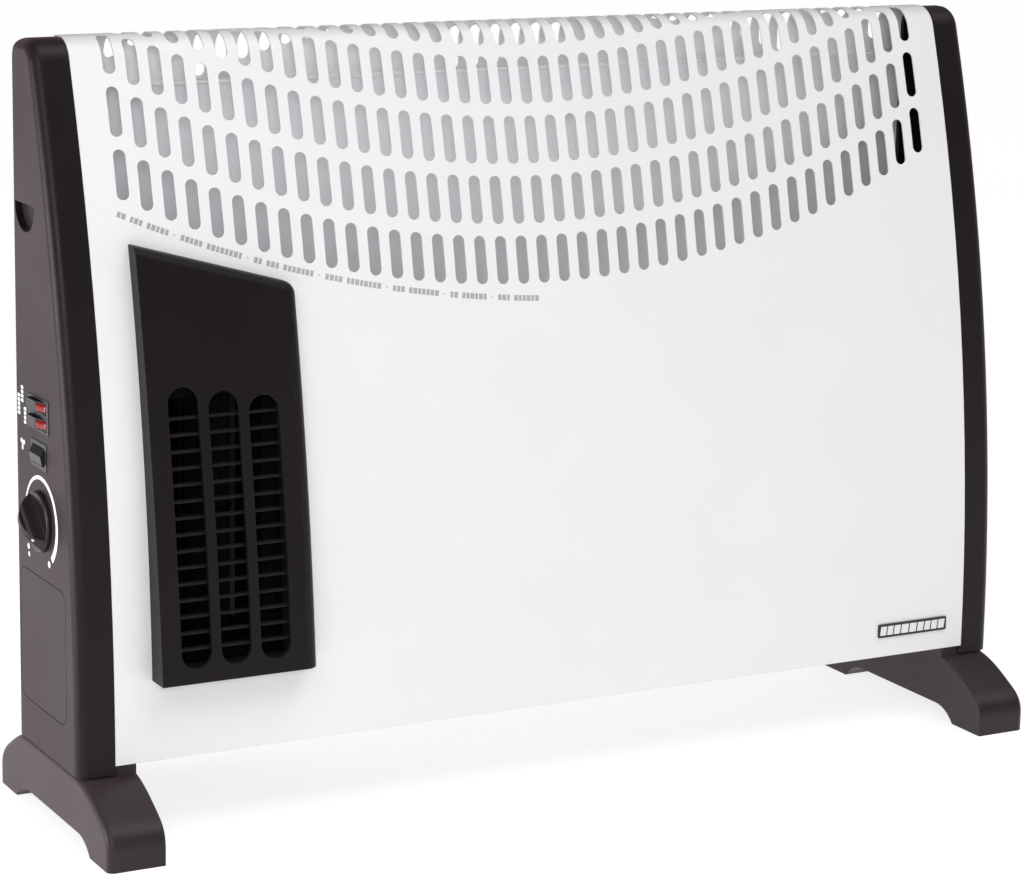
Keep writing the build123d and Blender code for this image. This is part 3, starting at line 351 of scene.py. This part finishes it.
def line_blocks():
    """Offsets along the line and width of each block, with the short dash between groups."""
    cursor, blocks, count = 0.0, [], 0
    for group_number, group in enumerate(LINE_GROUPS):
        for letters in group:
            for _ in range(letters):
                width = BLOCK_WIDTHS[count % len(BLOCK_WIDTHS)]
                blocks.append((cursor + width / 2, width, BLOCK_HEIGHT))
                cursor += width + BLOCK_GAP
                count += 1
            cursor += WORD_GAP
        if group_number < len(LINE_GROUPS) - 1:
            blocks.append((cursor + DASH_WIDTH / 2, DASH_WIDTH, DASH_HEIGHT))
            cursor += DASH_WIDTH + GROUP_GAP
    return blocks, cursor


line_x, line_z, line_radius = circle_through(*LINE_POINTS)
start_turn = atan2(LINE_POINTS[0][1] - line_z, LINE_POINTS[0][0] - line_x)
end_turn = atan2(LINE_POINTS[2][1] - line_z, LINE_POINTS[2][0] - line_x)
blocks, line_length = line_blocks()
line_stretch = line_radius * (end_turn - start_turn) / line_length
bm = bmesh.new()
for offset, width, height in blocks:
    turn = start_turn + (end_turn - start_turn) * offset / line_length
    centre, across, up = front_place(line_x + line_radius * cos(turn), line_z + line_radius * sin(turn))
    slab(bm, centre, across, up, bar(width * line_stretch, height, turn=turn + pi / 2))
piece("front_print_line", bm, PRINT_GREY, "case")

# Badge: plain light bars on the dark plate
BADGE_X = 218.7 * MM
BADGE_Z = 54.5 * MM
BADGE_HALF_HEIGHT = 3.7 * MM
BADGE_THICKNESS = 0.8 * MM
BADGE_FACE_Y = front_y(BADGE_Z - BADGE_HALF_HEIGHT) - BADGE_THICKNESS
BADGE_BARS = (3.8, 3.6, 4.0, 4.6, 4.4, 4.0, 3.6, 3.8, 4.0)
BADGE_BAR_HEIGHT = 4.9 * MM
BADGE_BAR_GAP = 0.7
BADGE_BAR_LEAN = 0.12
bm = bmesh.new()
cursor = -sum(BADGE_BARS) / 2 - BADGE_BAR_GAP * (len(BADGE_BARS) - 1) / 2
for width in BADGE_BARS:
    centre = Vector((BADGE_X + (cursor + width / 2) * MM, BADGE_FACE_Y, BADGE_Z))
    outline = bar(width * MM, BADGE_BAR_HEIGHT, lean=BADGE_BAR_LEAN)
    slab(bm, centre, Vector((1, 0, 0)), Vector((0, 0, 1)), outline)
    cursor += width + BADGE_BAR_GAP
piece("badge_blank_bars", bm, PRINT_WHITE, "case")

# Dial scale: a band that widens with the setting, an end dot and two small marks
SCALE_RADIUS = 21.3 * MM
SCALE_START, SCALE_END = radians(12), radians(229)
SCALE_STEPS = 72
SCALE_THIN, SCALE_GROWTH = 0.6 * MM, 1.1 * MM
END_DOT = (radians(241), 21.6 * MM, 1.7 * MM)
SMALL_MARKS = ((25.6, 134.9, 1.7), (24.9, 131.1, 1.4))
SMALL_MARK_SIDES = 6


def dial_point(angle, radius):
    """(across, up) from the dial's centre; angle 0 points to the back and 90 degrees up."""
    return -radius * cos(angle), radius * sin(angle)


dial_centre, dial_across, dial_up = face_place(DIAL_Y, DIAL_Z)
bm = bmesh.new()
for step in range(SCALE_STEPS):
    ends = []
    for k in (step, step + 1):
        share = k / SCALE_STEPS
        angle = SCALE_START + (SCALE_END - SCALE_START) * share
        half = SCALE_THIN + SCALE_GROWTH * share
        ends.append((dial_point(angle, SCALE_RADIUS - half), dial_point(angle, SCALE_RADIUS + half)))
    slab(bm, dial_centre, dial_across, dial_up, [ends[0][0], ends[0][1], ends[1][1], ends[1][0]])
dot_angle, dot_radius, dot_size = END_DOT
slab(bm, dial_centre, dial_across, dial_up, disc(dot_size, centre=dial_point(dot_angle, dot_radius)))
for mark_y, mark_z, size in SMALL_MARKS:
    centre, across, up = face_place(mark_y * MM, mark_z * MM)
    slab(bm, centre, across, up, disc(size * MM, SMALL_MARK_SIDES))
piece("dial_scale_print", bm, PRINT_WHITE, "case")

# Pointer dot on the knob's grip, near the low end of its arched edge; the arch's centre lies behind
# the control face by the depth given
POINTER_TURN = radians(220)
POINTER_REACH = 10.5 * MM
GRIP_ARCH_RADIUS = 16.83 * MM
GRIP_ARCH_DEPTH = 5.83 * MM
POINTER_SIZE = 0.75 * MM
lean = asin(POINTER_REACH / GRIP_ARCH_RADIUS)
along = Vector((0, cos(POINTER_TURN), sin(POINTER_TURN)))
outward = Vector((-1, 0, 0))
height = GRIP_ARCH_RADIUS * cos(lean) - GRIP_ARCH_DEPTH
tip = Vector((FACE_X, DIAL_Y, DIAL_Z)) + along * POINTER_REACH + outward * height
bm = bmesh.new()
slab(bm, tip, outward.cross(along) * -1, along * cos(lean) - outward * sin(lean), disc(POINTER_SIZE))
piece("knob_pointer_dot", bm, PRINT_WHITE, "thermostat_dial")

# Small marks beside the switches: short bars in columns and a three-bladed fan sign
MARK_COLUMNS = ((36.4, 199.2, 5), (31.8, 206.0, 4), (28.0, 196.0, 4))
MARK_PITCH = 2.15
MARK_WIDTH, MARK_HEIGHT = 3.2 * MM, 1.65 * MM
FAN_SIGN = (31.9 * MM, 184.8 * MM)
FAN_HUB = (0.6 * MM, 12)
PETAL = ((0.4, -0.7), (1.6, -1.5), (3.0, -1.2), (3.3, 0.2), (2.2, 1.1), (0.5, 0.7))
bm = bmesh.new()
for mark_y, low_z, count in MARK_COLUMNS:
    for row in range(count):
        centre, across, up = face_place(mark_y * MM, (low_z + MARK_PITCH * row) * MM)
        slab(bm, centre, across, up, bar(MARK_WIDTH, MARK_HEIGHT))
fan_centre, across, up = face_place(*FAN_SIGN)
for blade in range(3):
    turn = 2 * pi * blade / 3 + pi / 6
    petal = [(a * cos(turn) - b * sin(turn), a * sin(turn) + b * cos(turn)) for a, b in PETAL]
    slab(bm, fan_centre, across, up, [(a * MM, b * MM) for a, b in petal])
slab(bm, fan_centre, across, up, disc(*FAN_HUB))
piece("switch_marks_print", bm, PRINT_WHITE, "case")


# ------------------------------------------------------------------ floor, light and camera
FLOOR_REACH = 9.0
FLOOR_TONES = ((0.34, 0.34, 0.34), (0.36, 0.36, 0.36))
FLOOR_CLOUDS = 3.0
FLOOR_GLOW = 0.80
FLOOR_ROUGHNESS = 0.9
FLOOR_SPECULAR = 0.1
WORLD_COLOUR = (0.96, 0.98, 1.0)
WORLD_STRENGTH = 0.14

floor_finish = Nodes("floor_paper")
floor_tone = floor_finish.mix(floor_finish.noise(FLOOR_CLOUDS), *(rgba(tone) for tone in FLOOR_TONES))
floor_finish.link(floor_tone, floor_finish.shader.inputs["Base Color"])
floor_finish.shader.inputs["Emission Color"].default_value = rgba((1.0, 1.0, 1.0))
floor_finish.shader.inputs["Emission Strength"].default_value = FLOOR_GLOW
floor_finish.shader.inputs["Roughness"].default_value = FLOOR_ROUGHNESS
floor_finish.shader.inputs["Specular IOR Level"].default_value = FLOOR_SPECULAR

bm = bmesh.new()
bmesh.ops.create_grid(bm, x_segments=8, y_segments=8, size=FLOOR_REACH)
floor_mesh = bpy.data.meshes.new("floor")
bm.to_mesh(floor_mesh)
bm.free()
floor = bpy.data.objects.new("floor", floor_mesh)
scene.collection.objects.link(floor)
floor_mesh.materials.append(floor_finish.material)

world = bpy.data.worlds.new("studio")
world.use_nodes = True
background = world.node_tree.nodes["Background"]
background.inputs["Color"].default_value = rgba(WORLD_COLOUR)
background.inputs["Strength"].default_value = WORLD_STRENGTH
scene.world = world


def softbox(name, place, aim, size, power, colour):
    """Square area light at place, facing aim."""
    data = bpy.data.lights.new(name, "AREA")
    data.shape = "RECTANGLE"
    data.size, data.size_y = size, size
    data.energy = power
    data.color = colour
    lamp = bpy.data.objects.new(name, data)
    lamp.location = place
    lamp.rotation_euler = (Vector(aim) - Vector(place)).to_track_quat("-Z", "Y").to_euler()
    scene.collection.objects.link(lamp)


def sun(name, direction, strength, spread):
    """Very soft distant light that shines along direction."""
    data = bpy.data.lights.new(name, "SUN")
    data.energy = strength
    data.angle = radians(spread)
    lamp = bpy.data.objects.new(name, data)
    lamp.rotation_euler = Vector(direction).to_track_quat("-Z", "Y").to_euler()
    scene.collection.objects.link(lamp)


# Each softbox: name, place, aim, size, power and colour
SOFTBOXES = (
    ("upper_left", (-1.25, -1.1, 1.45), (-0.2, 0.0, 0.32), 0.9, 7.0, (1.0, 0.985, 0.96)),
    ("front", (-0.86, -1.66, 0.70), (0.0, 0.0, 0.25), 0.35, 9.0, (0.95, 0.96, 1.0)),
    ("left_wall", (-1.05, 0.12, 0.16), (-0.26, 0.0, 0.16), 0.5, 9.0, (0.88, 0.86, 1.0)),
)
CEILING_DIRECTION = (-0.25, 0.34, -0.90)
CEILING_STRENGTH = 1.4
CEILING_SPREAD = 45.0

sun("ceiling", CEILING_DIRECTION, CEILING_STRENGTH, CEILING_SPREAD)
for box in SOFTBOXES:
    softbox(*box)

CAMERA_PLACE = (-0.7696, -1.3761, 0.5234)
VIEW_DIRECTION = (0.43215, 0.87637, -0.21265)
VIEW_RIGHT = (0.89774, -0.44042, 0.00933)
SENSOR_WIDTH = 36.0
LENS = 110.945
SHIFT = (0.1439, -0.0205)

forward = Vector(VIEW_DIRECTION).normalized()
right = Vector(VIEW_RIGHT)
right = (right - forward * right.dot(forward)).normalized()
upward = right.cross(forward)
camera_data = bpy.data.cameras.new("camera")
camera_data.sensor_width = SENSOR_WIDTH
camera_data.lens = LENS
camera_data.shift_x, camera_data.shift_y = SHIFT
camera = bpy.data.objects.new("camera", camera_data)
turned = Matrix((right, upward, -forward)).transposed()
camera.matrix_world = Matrix.Translation(CAMERA_PLACE) @ turned.to_4x4()
scene.collection.objects.link(camera)
scene.camera = camera
scene.view_settings.view_transform = "Standard"
